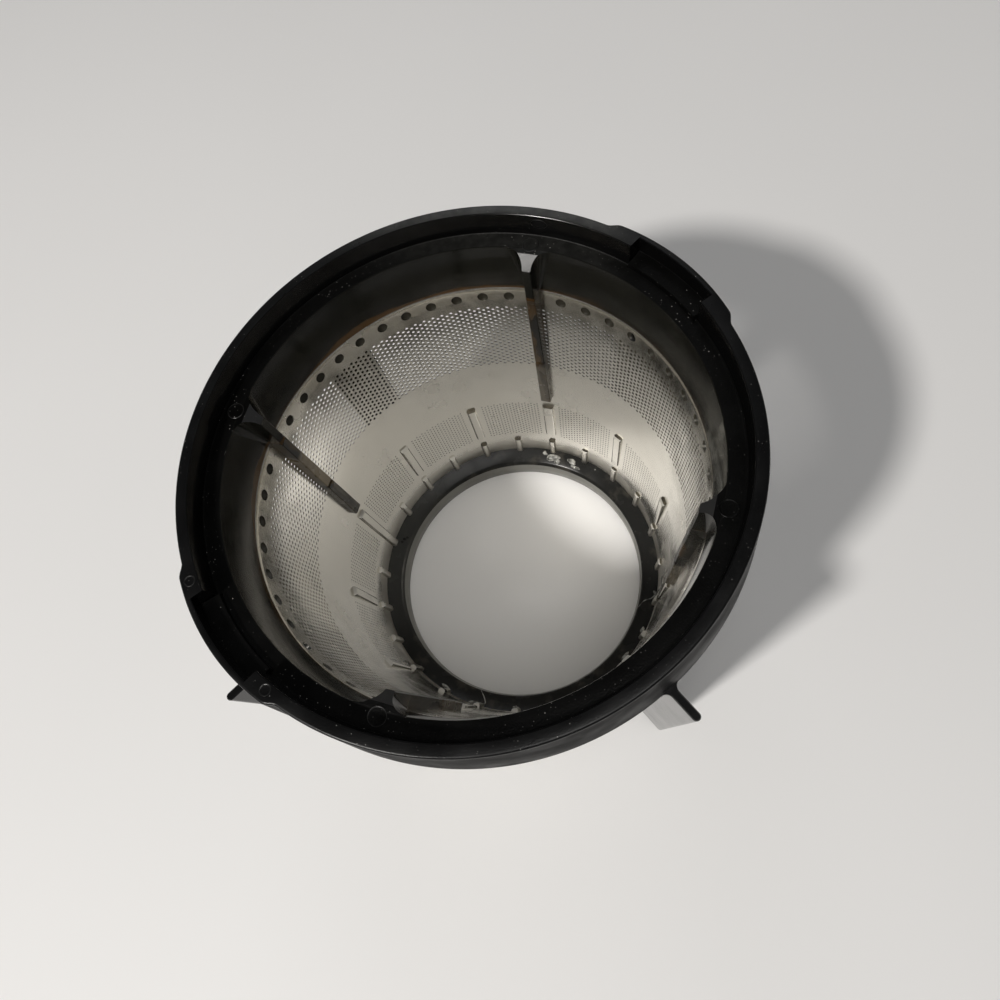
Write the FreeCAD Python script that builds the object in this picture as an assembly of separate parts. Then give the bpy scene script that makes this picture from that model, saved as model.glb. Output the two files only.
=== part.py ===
"""Juicer mesh screen: a perforated steel cone held in one moulded frame.

Millimetres, +Z up, axis on Z, standing on its foot ring. The four inner ribs lie on the X and Y axes.
"""

import FreeCAD
import Part
import math
import os
from FreeCAD import Vector

# Steel cone
CONE_FOOT_RADIUS = 36.6  # inside of the sheet, carried down to the table
CONE_HALF_ANGLE = 7.87
SHEET = 0.35
SHEET_TOP = 70.7
SHEET_FOOT = 2.6  # the lower edge lies inside the foot ring

# Anchor holes round the top of the sheet
ANCHOR_COUNT = 48
ANCHOR_DIAMETER = 2.4
ANCHOR_DROP = 2.7  # below the top edge of the sheet

# Perforated bands: a coarse grid with about the open area of the fine one
UPPER_BAND_DROP = 6.2  # below the top edge of the sheet
UPPER_BAND_HEIGHT = 18.8
UPPER_HOLE = 4.6
UPPER_PER_ROW = 24
UPPER_ROWS = 3
LOWER_BAND_FOOT = 14.3
LOWER_BAND_HEIGHT = 14.0
LOWER_HOLE = 3.5
LOWER_COLUMNS = 2  # in each block between two long beads
LOWER_ROWS = 2

# Embossed beads
BEAD_COUNT = 12
BEAD_WIDTH = 2.3
BEAD_STAND = 0.9
BEAD_STAND_FOOT = 0.5
BEAD_FLANK = 0.3  # run of each slanting side
BEAD_LENGTH = 13.2
WIDE_BEAD_WIDTH = 2.9
WIDE_BEAD_RIB = 1  # counted from +X, the rib that has the wide long bead below it
SHORT_BEAD_COUNT = 24
SHORT_BEAD_WIDTH = 1.8
SHORT_BEAD_STAND = 0.8
SHORT_BEAD_TOP = 12.0
SHORT_BEAD_FOOT = 4.6
BEAD_SEAM_RIB = 2  # counted from +X, the rib whose long bead runs on to the foot

# Moulded top ring
WALL_HEIGHT = 11.5  # smooth cone from the sheet up to the ledge
LEDGE_WIDTH = 3.6
RIM_HEIGHT = 5.1
RIM_DRAFT = 0.5
RIM_WIDTH = 2.4
SKIRT_HEIGHT = 14.3
SKIRT_DRAFT = 0.7
SKIRT_WALL = 1.8
LEDGE_WALL = 1.9
RIM_ROUND = 0.55
EDGE_ROUND = 0.25

# Collar outside the sheet and the bars below it
COLLAR_WALL = 1.6
COLLAR_DROP = 2.5  # below the anchor holes
BAR_WIDTH = 10.0
BAR_TURN = 58.0  # degrees from a rib to the middle of a bar

# Bayonet pockets in the rim
POCKET_COUNT = 2
POCKET_TURN = 55.5  # degrees from a rib
POCKET_SPAN = 20.5
POCKET_FLOOR_RISE = 1.3
POCKET_LIP = 0.6
POCKET_OUTER_WALL = 0.9
BULGE_SPAN = 35.8
BULGE_RAMP = 3.0
BULGE_REACH = 1.1  # at the ends of its ramps
BULGE_CROWN = 0.35  # more in the middle

# Inner ribs
RIB_COUNT = 4
RIB_FOOT = 31.8
RIB_STAND_TOP = 3.6
RIB_STAND_FOOT = 1.45
RIB_WIDTH_TOP = 1.8
RIB_WIDTH_FOOT = 2.6
RIB_FLARE = 3.2  # rounded roots at the ledge
RIB_FLARE_FOOT = 0.5  # rounded roots at the top of the sheet
RIB_SHOULDER = 1.3  # level part at the ledge, before the slope
NOTCH_RISE = 16.3  # above the foot of the rib
NOTCH_HEIGHT = 0.8
NOTCH_DEPTH = 0.5

# Outer fins
FIN_TURN = 59.4  # degrees from a rib, the pair at the pockets
FIN_TURN_ACROSS = 145.7  # the other pair
FIN_THICKNESS = 1.6
FIN_RISE = 1.5  # above the lower edge of the skirt
FIN_REACH_TOP = 6.9  # past the skirt
FIN_FOOT = 10.0
FIN_REACH_FOOT = 17.3  # past the sheet
FIN_ROOT_ROUND = 1.3

# Foot ring
FOOT_HOLE_RADIUS = 32.7
FOOT_HOLE_DRAFT = 0.7
FOOT_LAND_HEIGHT = 2.4  # straight part of the hole, below its lead-in
FOOT_LIP_HEIGHT = 4.8
FOOT_SEAT_HEIGHT = 6.7
FOOT_COLLAR_HEIGHT = 10.0
FOOT_FLANGE_HEIGHT = 3.0
FOOT_FLANGE_REACH = 1.0
FOOT_ROUND = 0.7

# Values worked out from the ones above
SLOPE = math.tan(math.radians(CONE_HALF_ANGLE))
SHEET_ACROSS = SHEET / math.cos(math.radians(CONE_HALF_ANGLE))
ANCHOR_HEIGHT = SHEET_TOP - ANCHOR_DROP
COLLAR_FOOT = ANCHOR_HEIGHT - COLLAR_DROP
LEDGE = SHEET_TOP + WALL_HEIGHT
RIM_TOP = LEDGE + RIM_HEIGHT
SKIRT_FOOT = RIM_TOP - SKIRT_HEIGHT
UNDERSIDE = LEDGE - LEDGE_WALL
POCKET_FLOOR = LEDGE + POCKET_FLOOR_RISE
BEAD_TOP = LOWER_BAND_FOOT + LOWER_BAND_HEIGHT
FIN_TOP = SKIRT_FOOT + FIN_RISE
AXIS = Vector(0, 0, 1)
ORIGIN = Vector(0, 0, 0)
CLEAR = 1.0  # how far a cutter runs past the face that it cuts


def cone_radius(height):
    """Inside radius of the sheet at a height."""
    return CONE_FOOT_RADIUS + height * SLOPE


def sheet_outside(height):
    return cone_radius(height) + SHEET_ACROSS


LEDGE_INNER = cone_radius(LEDGE)
LEDGE_OUTER = LEDGE_INNER + LEDGE_WIDTH
RIM_INNER = LEDGE_OUTER + RIM_DRAFT
RIM_OUTER = RIM_INNER + RIM_WIDTH
SKIRT_RADIUS = RIM_OUTER + SKIRT_DRAFT


def corner_arc(before, corner, after, radius):
    """Start, middle and end of the arc that rounds a corner."""
    towards_before = (before - corner).normalize()
    towards_after = (after - corner).normalize()
    half = towards_before.getAngle(towards_after) / 2
    along = radius / math.tan(half)
    bisector = (towards_before + towards_after).normalize()
    start = corner + towards_before * along
    end = corner + towards_after * along
    middle = corner + bisector * (radius / math.sin(half) - radius)
    return start, middle, end


def rounded_face(corners):
    """Face in the XZ plane through corners (radius, height, rounding)."""
    points = [Vector(radius, 0, height) for radius, height, _ in corners]
    count = len(points)
    arcs = []
    for index, (_, _, rounding) in enumerate(corners):
        if rounding:
            arcs.append(corner_arc(points[index - 1], points[index], points[(index + 1) % count], rounding))
        else:
            arcs.append((points[index], None, points[index]))
    edges = []
    for index, (start, middle, end) in enumerate(arcs):
        if middle is not None:
            edges.append(Part.Arc(start, middle, end).toShape())
        edges.append(Part.LineSegment(end, arcs[(index + 1) % count][0]).toShape())
    return Part.Face(Part.Wire(edges))


def ring(corners):
    return rounded_face(corners).revolve(ORIGIN, AXIS, 360)


def sector(corners, middle, span):
    """Part of a ring, centred on an angle."""
    solid = rounded_face(corners).revolve(ORIGIN, AXIS, span)
    solid.rotate(ORIGIN, AXIS, middle - span / 2)
    return solid


def turned(shape, angle):
    copy = shape.copy()
    copy.rotate(ORIGIN, AXIS, angle)
    return copy


def plate(corners, thickness):
    """Radial plate on +X: an outline (radius, height) with its thickness across Y."""
    points = [Vector(radius, -thickness / 2, height) for radius, height in corners]
    wire = Part.makePolygon(points + points[:1])
    return Part.Face(wire).extrude(Vector(0, thickness, 0))


def tapered_bar(sections):
    """Bar on +X between two level sections (height, inner radius, outer radius, inner width, outer width)."""
    wires = []
    for height, inner, outer, inner_width, outer_width in sections:
        narrow = inner_width / 2
        wide = outer_width / 2
        corners = [(inner, -narrow), (outer, -wide), (outer, wide), (inner, narrow)]
        points = [Vector(x, y, height) for x, y in corners]
        wires.append(Part.makePolygon(points + points[:1]))
    return Part.makeLoft(wires, True, True)


def around(shape, count, first=0.0):
    return [turned(shape, first + index * 360 / count) for index in range(count)]


def fused(shapes):
    return shapes[0].multiFuse(shapes[1:]).removeSplitter()


def level_pin(diameter, height):
    """Cylinder square to the sheet on +X, long enough to go through it."""
    reach = BEAD_STAND + SHEET + CLEAR
    start = Vector(cone_radius(height) - reach, 0, height + reach * SLOPE)
    direction = Vector(1, 0, -SLOPE)
    return Part.makeCylinder(diameter / 2, 2 * reach + SHEET, start, direction)


def bead(width, stand_top, stand_foot, top, foot):
    """Ridge with slanting sides pressed inwards from the sheet, stepped at both ends."""
    sections = []
    for height, stand in ((foot, stand_foot), (top, stand_top)):
        radius = cone_radius(height)
        sections.append((height, radius - stand, radius + SHEET_ACROSS / 2, width - 2 * BEAD_FLANK, width))
    return tapered_bar(sections)


def bead_hollow(width, stand_top, stand_foot, top, foot):
    """Dent that the pressing leaves behind a ridge, one sheet thickness inside it."""
    sections = []
    for height, stand in ((foot + SHEET, stand_foot), (top - SHEET, stand_top)):
        side = SHEET * math.tan(math.pi / 4 - math.atan2(BEAD_FLANK, stand) / 2)
        opening = width - 2 * side
        outside = sheet_outside(height)
        past = CLEAR * 2 * BEAD_FLANK / stand
        sections.append((height, outside - stand, outside + CLEAR, opening - 2 * BEAD_FLANK, opening + past))
    return tapered_bar(sections)


def rib_section(height):
    """Inner radius and width of a rib at a height."""
    share = (height - RIB_FOOT) / (LEDGE - RIB_FOOT)
    stand = RIB_STAND_FOOT + (RIB_STAND_TOP - RIB_STAND_FOOT) * share
    width = RIB_WIDTH_FOOT + (RIB_WIDTH_TOP - RIB_WIDTH_FOOT) * share
    return cone_radius(height) - stand, width


def rib_flare(height):
    """Level outline of the rounded roots where a rib meets the moulded wall."""
    _, width = rib_section(height)
    share = (height - SHEET_TOP) / (LEDGE - SHEET_TOP)
    flare = RIB_FLARE_FOOT + (RIB_FLARE - RIB_FLARE_FOOT) * share
    wall = cone_radius(height)
    back = wall + SHEET_ACROSS
    half = width / 2
    bend = flare * (1 - math.sqrt(0.5))
    tip = wall - flare
    edge = half + flare
    across = math.sqrt(wall * wall - edge * edge)
    edges = [
        Part.LineSegment(Vector(back, edge, height), Vector(back, -edge, height)),
        Part.LineSegment(Vector(back, -edge, height), Vector(across, -edge, height)),
        Part.Arc(
            Vector(across, -edge, height),
            Vector(across - bend, -half - bend, height),
            Vector(tip, -half, height),
        ),
        Part.LineSegment(Vector(tip, -half, height), Vector(tip, half, height)),
        Part.Arc(
            Vector(tip, half, height),
            Vector(across - bend, half + bend, height),
            Vector(across, edge, height),
        ),
        Part.LineSegment(Vector(across, edge, height), Vector(back, edge, height)),
    ]
    return Part.Wire([edge_line.toShape() for edge_line in edges])


def rib():
    """One inner rib on +X, with its flared top level at the ledge and then sloped at 45 degrees."""
    sections = []
    for height in (RIB_FOOT, LEDGE):
        inner, width = rib_section(height)
        sections.append((height, inner, cone_radius(height) + SHEET_ACROSS / 2, width, width))
    body = tapered_bar(sections)
    flare = Part.makeLoft([rib_flare(SHEET_TOP), rib_flare(LEDGE)], True, True)
    slope_top = LEDGE_INNER - RIB_SHOULDER
    slope_run = RIB_STAND_TOP + RIB_FLARE + CLEAR
    above = plate(
        [
            (slope_top, LEDGE),
            (slope_top, LEDGE + CLEAR),
            (slope_top - slope_run, LEDGE + CLEAR),
            (slope_top - slope_run, LEDGE - slope_run),
        ],
        2 * (RIB_FLARE + RIB_WIDTH_FOOT),
    )
    notch_foot = RIB_FOOT + NOTCH_RISE
    inner, width = rib_section(notch_foot)
    notch = plate(
        [
            (inner - CLEAR, notch_foot),
            (inner + NOTCH_DEPTH, notch_foot),
            (inner + NOTCH_DEPTH, notch_foot + NOTCH_HEIGHT),
            (inner - CLEAR, notch_foot + NOTCH_HEIGHT),
        ],
        width + 2 * CLEAR,
    )
    return body.fuse(flare).cut(above).cut(notch)


def rib_root():
    """The web that carries a rib through a slot in the sheet to the collar."""
    sections = []
    for height in (COLLAR_FOOT, LEDGE - LEDGE_WALL / 2):
        _, width = rib_section(height)
        inner = cone_radius(height) - RIB_STAND_FOOT / 2
        sections.append((height, inner, sheet_outside(height) + COLLAR_WALL / 2, width, width))
    return tapered_bar(sections)


def plain_sheet():
    """The rolled cone with its beads and the slots for the ribs, before it is perforated."""
    cone = ring(
        [
            (cone_radius(SHEET_FOOT), SHEET_FOOT, 0),
            (sheet_outside(SHEET_FOOT), SHEET_FOOT, 0),
            (sheet_outside(SHEET_TOP), SHEET_TOP, 0),
            (cone_radius(SHEET_TOP), SHEET_TOP, 0),
        ]
    )
    ridges = []
    hollows = []
    long_foot = BEAD_TOP - BEAD_LENGTH
    seam_angle = BEAD_SEAM_RIB * 360 / RIB_COUNT
    wide_angle = WIDE_BEAD_RIB * 360 / RIB_COUNT
    for index in range(BEAD_COUNT):
        angle = index * 360 / BEAD_COUNT
        is_seam = abs(angle - seam_angle) < 180 / BEAD_COUNT
        is_wide = abs(angle - wide_angle) < 180 / BEAD_COUNT
        width = WIDE_BEAD_WIDTH if is_wide else BEAD_WIDTH
        foot = SHORT_BEAD_FOOT if is_seam else long_foot
        stand_foot = SHORT_BEAD_STAND if is_seam else BEAD_STAND_FOOT
        ridges.append(turned(bead(width, BEAD_STAND, stand_foot, BEAD_TOP, foot), angle))
        hollows.append(turned(bead_hollow(width, BEAD_STAND, BEAD_STAND_FOOT, BEAD_TOP, long_foot), angle))
    short = bead(SHORT_BEAD_WIDTH, SHORT_BEAD_STAND, SHORT_BEAD_STAND, SHORT_BEAD_TOP, SHORT_BEAD_FOOT)
    for index in range(SHORT_BEAD_COUNT):
        angle = index * 360 / SHORT_BEAD_COUNT
        if abs(angle - seam_angle) > 180 / SHORT_BEAD_COUNT:
            ridges.append(turned(short, angle))
    sheet = cone.multiFuse(ridges)
    return sheet.cut(hollows + around(rib_root(), RIB_COUNT)).removeSplitter()


def between_ribs(pin, count):
    """A row of pins that starts on a rib, without the ones on the ribs."""
    rib_step = count // RIB_COUNT
    return [turned(pin, index * 360 / count) for index in range(count) if index % rib_step]


def perforations():
    """Anchor holes, and the two bands of the coarse grid; no hole lies behind a rib."""
    holes = between_ribs(level_pin(ANCHOR_DIAMETER, ANCHOR_HEIGHT), ANCHOR_COUNT)
    for row in range(UPPER_ROWS):
        pin = level_pin(UPPER_HOLE, SHEET_TOP - UPPER_BAND_DROP - UPPER_BAND_HEIGHT * (row + 0.5) / UPPER_ROWS)
        if row % 2:
            holes += between_ribs(pin, UPPER_PER_ROW)
        else:
            holes += around(pin, UPPER_PER_ROW, 180 / UPPER_PER_ROW)
    block = 360 / BEAD_COUNT
    for row in range(LOWER_ROWS):
        pin = level_pin(LOWER_HOLE, LOWER_BAND_FOOT + LOWER_BAND_HEIGHT * (row + 0.5) / LOWER_ROWS)
        for column in range(LOWER_COLUMNS):
            holes += around(pin, BEAD_COUNT, block * (column + 1) / (LOWER_COLUMNS + 1))
    return holes


def top_ring():
    """Rim, ledge, smooth cone and skirt in one section, hollow underneath, with its collar."""
    collar_inner = cone_radius(COLLAR_FOOT)
    collar_outer = sheet_outside(COLLAR_FOOT) + COLLAR_WALL
    wall_outer = sheet_outside(UNDERSIDE) + COLLAR_WALL
    skirt_inner_top = SKIRT_RADIUS - SKIRT_WALL - SKIRT_DRAFT * (UNDERSIDE - SKIRT_FOOT) / SKIRT_HEIGHT
    return ring(
        [
            (collar_inner, COLLAR_FOOT, 0),
            (collar_outer, COLLAR_FOOT, EDGE_ROUND),
            (wall_outer, UNDERSIDE, RIM_ROUND),
            (skirt_inner_top, UNDERSIDE, RIM_ROUND),
            (SKIRT_RADIUS - SKIRT_WALL, SKIRT_FOOT, EDGE_ROUND),
            (SKIRT_RADIUS, SKIRT_FOOT, RIM_ROUND),
            (RIM_OUTER, RIM_TOP, RIM_ROUND),
            (RIM_INNER, RIM_TOP, EDGE_ROUND),
            (LEDGE_OUTER, LEDGE, EDGE_ROUND),
            (LEDGE_INNER, LEDGE, 0),
        ]
    )


def bulge_outline(height):
    """Level outline of the outward swell of the skirt, centred on +X."""
    share = (height - SKIRT_FOOT) / SKIRT_HEIGHT
    skirt = SKIRT_RADIUS - SKIRT_DRAFT * share
    inner = skirt - SKIRT_WALL / 2
    outer = skirt + BULGE_REACH
    wide = math.radians(BULGE_SPAN / 2)
    narrow = math.radians(BULGE_SPAN / 2 - BULGE_RAMP)

    def at(radius, angle):
        return Vector(radius * math.cos(angle), radius * math.sin(angle), height)

    edges = [
        Part.Arc(at(inner, -wide), at(inner, 0), at(inner, wide)),
        Part.LineSegment(at(inner, wide), at(skirt, wide)),
        Part.LineSegment(at(skirt, wide), at(outer, narrow)),
        Part.Arc(at(outer, narrow), at(outer + BULGE_CROWN, 0), at(outer, -narrow)),
        Part.LineSegment(at(outer, -narrow), at(skirt, -wide)),
        Part.LineSegment(at(skirt, -wide), at(inner, -wide)),
    ]
    return Part.Wire([edge.toShape() for edge in edges])


def bulge():
    return Part.makeLoft([bulge_outline(SKIRT_FOOT), bulge_outline(RIM_TOP)], True, True)


def pocket_step(angle):
    """Raised floor that stands a little way out over the ledge."""
    corners = [
        (LEDGE_OUTER - POCKET_LIP, LEDGE - LEDGE_WALL / 2, 0),
        (RIM_INNER + RIM_WIDTH / 2, LEDGE - LEDGE_WALL / 2, 0),
        (RIM_INNER + RIM_WIDTH / 2, POCKET_FLOOR, 0),
        (LEDGE_OUTER - POCKET_LIP, POCKET_FLOOR, 0),
    ]
    return sector(corners, angle, POCKET_SPAN)


def pocket_cut(angle):
    """Room for the bayonet lug, open upwards and inwards."""
    outer = RIM_OUTER + BULGE_REACH - POCKET_OUTER_WALL
    corners = [
        (LEDGE_OUTER - POCKET_LIP - CLEAR, POCKET_FLOOR, 0),
        (outer, POCKET_FLOOR, 0),
        (outer, RIM_TOP + CLEAR, 0),
        (LEDGE_OUTER - POCKET_LIP - CLEAR, RIM_TOP + CLEAR, 0),
    ]
    return sector(corners, angle, POCKET_SPAN)


def fin():
    """Radial wing on +X from the sheet to a full-round outer edge, with a rounded root at the skirt."""
    inner_foot = sheet_outside(FIN_FOOT)
    inner_top = sheet_outside(COLLAR_FOOT)
    tip = SKIRT_RADIUS + FIN_REACH_TOP
    foot_tip = inner_foot + FIN_REACH_FOOT
    half = FIN_THICKNESS / 2
    web = plate(
        [
            (inner_foot, FIN_FOOT),
            (foot_tip - half, FIN_FOOT),
            (tip - half, FIN_TOP),
            (SKIRT_RADIUS - SKIRT_WALL / 2, FIN_TOP),
            (SKIRT_RADIUS - SKIRT_WALL / 2, UNDERSIDE + LEDGE_WALL / 2),
            (sheet_outside(UNDERSIDE) + COLLAR_WALL / 2, UNDERSIDE + LEDGE_WALL / 2),
            (inner_top + COLLAR_WALL / 2, COLLAR_FOOT),
            (inner_top, COLLAR_FOOT),
        ],
        FIN_THICKNESS,
    )
    wires = []
    for height, radius in ((FIN_FOOT, foot_tip - half), (FIN_TOP, tip - half)):
        wires.append(Part.Wire([Part.makeCircle(half, Vector(radius, 0, height), AXIS)]))
    edge = Part.makeLoft(wires, True, True)
    return web.fuse(edge).fuse(fin_root())


def fin_root():
    """Web with hollow sides between the skirt and the top of a fin."""
    start = SKIRT_RADIUS - SKIRT_WALL / 2
    face = math.sqrt(SKIRT_RADIUS ** 2 - (FIN_THICKNESS / 2 + FIN_ROOT_ROUND) ** 2)
    half = FIN_THICKNESS / 2
    wide = half + FIN_ROOT_ROUND
    bend = FIN_ROOT_ROUND * (1 - math.sqrt(0.5))
    end = face + FIN_ROOT_ROUND

    def at(x, y):
        return Vector(x, y, SKIRT_FOOT)

    edges = [
        Part.LineSegment(at(start, -wide), at(face, -wide)),
        Part.Arc(at(face, -wide), at(face + bend, -half - bend), at(end, -half)),
        Part.LineSegment(at(end, -half), at(end, half)),
        Part.Arc(at(end, half), at(face + bend, half + bend), at(face, wide)),
        Part.LineSegment(at(face, wide), at(start, wide)),
        Part.LineSegment(at(start, wide), at(start, -wide)),
    ]
    outline = Part.Wire([edge.toShape() for edge in edges])
    return Part.Face(outline).extrude(Vector(0, 0, FIN_RISE))


def bar(angle):
    """Strip down the outside of the sheet that ties the collar to the foot ring."""
    foot = FOOT_COLLAR_HEIGHT / 2
    top = COLLAR_FOOT + COLLAR_DROP
    corners = [
        (sheet_outside(foot), foot, 0),
        (sheet_outside(foot) + COLLAR_WALL, foot, 0),
        (sheet_outside(top) + COLLAR_WALL, top, 0),
        (sheet_outside(top), top, 0),
    ]
    span = math.degrees(BAR_WIDTH / sheet_outside((foot + top) / 2))
    return sector(corners, angle, span)


def foot_ring():
    """Ring that the screen stands on, with the sheet set into it."""
    flange = sheet_outside(FOOT_COLLAR_HEIGHT) + COLLAR_WALL + FOOT_FLANGE_REACH
    collar = sheet_outside(FOOT_COLLAR_HEIGHT) + COLLAR_WALL
    return ring(
        [
            (FOOT_HOLE_RADIUS, 0, EDGE_ROUND),
            (flange, 0, EDGE_ROUND),
            (flange, FOOT_FLANGE_HEIGHT, EDGE_ROUND),
            (collar, FOOT_FLANGE_HEIGHT + FOOT_FLANGE_REACH, 0),
            (collar, FOOT_COLLAR_HEIGHT, EDGE_ROUND),
            (sheet_outside(FOOT_COLLAR_HEIGHT), FOOT_COLLAR_HEIGHT, 0),
            (cone_radius(FOOT_SEAT_HEIGHT), FOOT_SEAT_HEIGHT, 0),
            (FOOT_HOLE_RADIUS + FOOT_HOLE_DRAFT, FOOT_LIP_HEIGHT, FOOT_ROUND),
            (FOOT_HOLE_RADIUS, FOOT_LAND_HEIGHT, 0),
        ]
    )


def moulded_frame(sheet):
    """Everything moulded round the sheet in one piece."""
    bar_angles = [BAR_TURN + index * 360 / RIB_COUNT for index in range(RIB_COUNT)]
    fin_angles = [FIN_TURN, FIN_TURN_ACROSS, FIN_TURN + 180, FIN_TURN_ACROSS + 180]
    pocket_angles = [POCKET_TURN + index * 360 / POCKET_COUNT for index in range(POCKET_COUNT)]
    pieces = [top_ring(), foot_ring()]
    pieces += around(rib(), RIB_COUNT)
    pieces += around(rib_root(), RIB_COUNT)
    pieces += [bar(angle) for angle in bar_angles]
    pieces += [turned(fin(), angle) for angle in fin_angles]
    pieces += [turned(bulge(), angle) for angle in pocket_angles]
    pieces += [pocket_step(angle) for angle in pocket_angles]
    body = fused(pieces)
    cuts = [pocket_cut(angle) for angle in pocket_angles]
    return body.cut(cuts + [sheet]).removeSplitter()


def main():
    os.makedirs("parts", exist_ok=True)
    sheet = plain_sheet()
    screen = sheet.cut(perforations())
    frame = moulded_frame(sheet)
    for name, shape in (("perforated_screen", screen), ("moulded_frame", frame)):
        solids = shape.Solids
        print(name, "valid", shape.isValid(), "solids", len(solids), "volume", round(shape.Volume, 1))
        whole = solids[0] if len(solids) == 1 else Part.makeCompound(solids)
        whole.exportStep(os.path.join("parts", name + ".step"))


main()
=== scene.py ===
"""Looks of the juicer mesh screen: fine perforation, moulded frame, wear, studio and camera."""

import bmesh
import bpy
import math
import numpy as np
from mathutils import Matrix, Vector


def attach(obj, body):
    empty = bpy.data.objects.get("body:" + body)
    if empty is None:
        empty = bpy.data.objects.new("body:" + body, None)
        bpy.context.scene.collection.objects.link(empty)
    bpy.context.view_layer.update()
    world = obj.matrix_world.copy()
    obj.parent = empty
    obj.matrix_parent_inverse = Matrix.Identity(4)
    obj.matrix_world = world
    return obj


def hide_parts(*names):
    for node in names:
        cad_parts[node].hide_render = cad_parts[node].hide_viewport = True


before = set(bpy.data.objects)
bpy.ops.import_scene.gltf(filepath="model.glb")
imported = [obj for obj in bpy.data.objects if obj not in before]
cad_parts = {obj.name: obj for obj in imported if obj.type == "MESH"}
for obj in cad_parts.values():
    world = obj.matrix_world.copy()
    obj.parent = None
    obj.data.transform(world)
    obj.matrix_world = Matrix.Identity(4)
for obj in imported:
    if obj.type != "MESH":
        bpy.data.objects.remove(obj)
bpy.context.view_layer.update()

# Steel cone, in millimetres
CONE_FOOT_RADIUS = 36.6
CONE_HALF_ANGLE = math.radians(7.87)
SLOPE = math.tan(CONE_HALF_ANGLE)
SHEET = 0.35
SHEET_ACROSS = SHEET / math.cos(CONE_HALF_ANGLE)
SHEET_TOP = 70.7
SHEET_FOOT = 4.0
EDGE_HEIGHT = 0.22  # turned-out top edge
EDGE_REACH = 0.16
QUARTERS = 4
STEEL, HOLE, SHADE, STEP_SHADE = range(4)  # looks of the sheet, in the order of its materials; the last three carry painted shade

# Anchor holes
ANCHOR_STEP = 7.5
ANCHOR_RADIUS = 1.2
ANCHOR_HEIGHT = 68.0
ANCHOR_BAND = 1.5  # half the height of the band that holds them
ANCHOR_SIDES = 24

# Fine perforation, in columns up the cone with every other column half a pitch lower
UPPER_TOP = 65.02
UPPER_PITCH = 1.24
UPPER_ROWS = 16
UPPER_COLUMNS = 66
UPPER_RADIUS = 0.36
UPPER_FLARE = 0.12
LOWER_TOP = 28.78
LOWER_PITCH = 0.95
LOWER_ROWS = 15
LOWER_COLUMNS = 19
LOWER_RADIUS = 0.2
LOWER_FLARE = 0.10

# Pressed beads
BEAD_STEP = 30.0
BEAD_MARGIN = 3.7
BEAD_WIDTH = 2.3
WIDE_BEAD_WIDTH = 2.9
WIDE_BEAD_ANGLE = 90.0
BEAD_STAND = 0.9
BEAD_STAND_FOOT = 0.5
BEAD_TOP = 28.3
BEAD_FOOT = 15.1
SHORT_STEP = 15.0
SHORT_WIDTH = 1.8
SHORT_STAND = 0.8
SHORT_TOP = 12.0
PLAIN_LEVELS = (12.6, 13.2)  # plain sheet above the short beads
BEAD_RUNS = (0.0, 0.05, 0.12, 0.22, 0.36, 0.52)  # distances in from the edge of a bead
BEAD_SHARES = (0.0, 0.5, 0.72, 0.86, 0.96, 1.0)  # and the share of its stand reached there
BEAD_END = 0.14  # height of the step at its top
BEAD_SHADE_WIDTH = 0.1  # width of the painted shadow beside it
SEAM_ANGLE = 180.0  # this long bead runs on to the foot

# Moulded frame
LEDGE = 82.2
RIM_TOP = 87.3
SKIRT_FOOT = 73.0
UNDERSIDE = 80.3
LEDGE_OUTER = 51.56
RIM_INNER = 52.06
RIM_OUTER = 54.46
SKIRT_RADIUS = 55.16
SKIRT_WALL = 1.8
SKIRT_INNER_DRAFT = 0.4
COLLAR_FOOT = 65.5
COLLAR_WALL = 1.6
POCKET_ANGLES = (55.5, 235.5)
POCKET_SPAN = 20.5
POCKET_FLOOR = 83.5
POCKET_LIP = 0.6
POCKET_WALL = 0.9
POCKET_END = 0.32  # degrees over which its end walls rise
BULGE_SPAN = 35.8
BULGE_RAMP = 3.0
BULGE_REACH = 1.1
BULGE_CROWN = 0.35
RIB_ANGLES = (0.0, 90.0, 180.0, 270.0)
RIB_FOOT = 31.8
RIB_STAND_TOP = 3.6
RIB_STAND_FOOT = 1.45
RIB_WIDTH_TOP = 1.8
RIB_WIDTH_FOOT = 2.6
RIB_FLARE = 4.0
RIB_FLARE_FOOT = 0.5
RIB_SHOULDER = 1.3
RIB_EASE = 0.16  # along the edges of its crest
RIB_SEAT = 0.25  # reach into the sheet
RIB_TOE = 0.35  # bevel at its foot
RIB_BACK = 0.8  # reach of its upper end into the wall
NOTCH_FOOT = 48.1
NOTCH_HEIGHT = 0.8
NOTCH_DEPTH = 0.5
FIN_ANGLES = (59.4, 145.7, 239.4, 325.7)
FIN_HALF = 0.8
FIN_TOP = 74.5
FIN_TIP = 62.06
FIN_FOOT = 10.0
FIN_FOOT_TIP = 55.63
FIN_ROOT = 1.3
BAR_ANGLES = (58.0, 148.0, 238.0, 328.0)
BAR_WIDTH = 10.0
BAR_RADIUS = 41.5  # where that width is measured
BEHIND_GAP = 0.02  # keeps plastic faces clear of the back of the sheet
FOOT_HOLE = 32.7
FOOT_LAND = 2.4
FOOT_HOLE_TOP = 33.4
FOOT_LIP = 4.8
FOOT_SEAT = 6.7
FOOT_COLLAR = 10.0
FOOT_FLANGE = 3.0
FLANGE_REACH = 1.0

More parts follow.
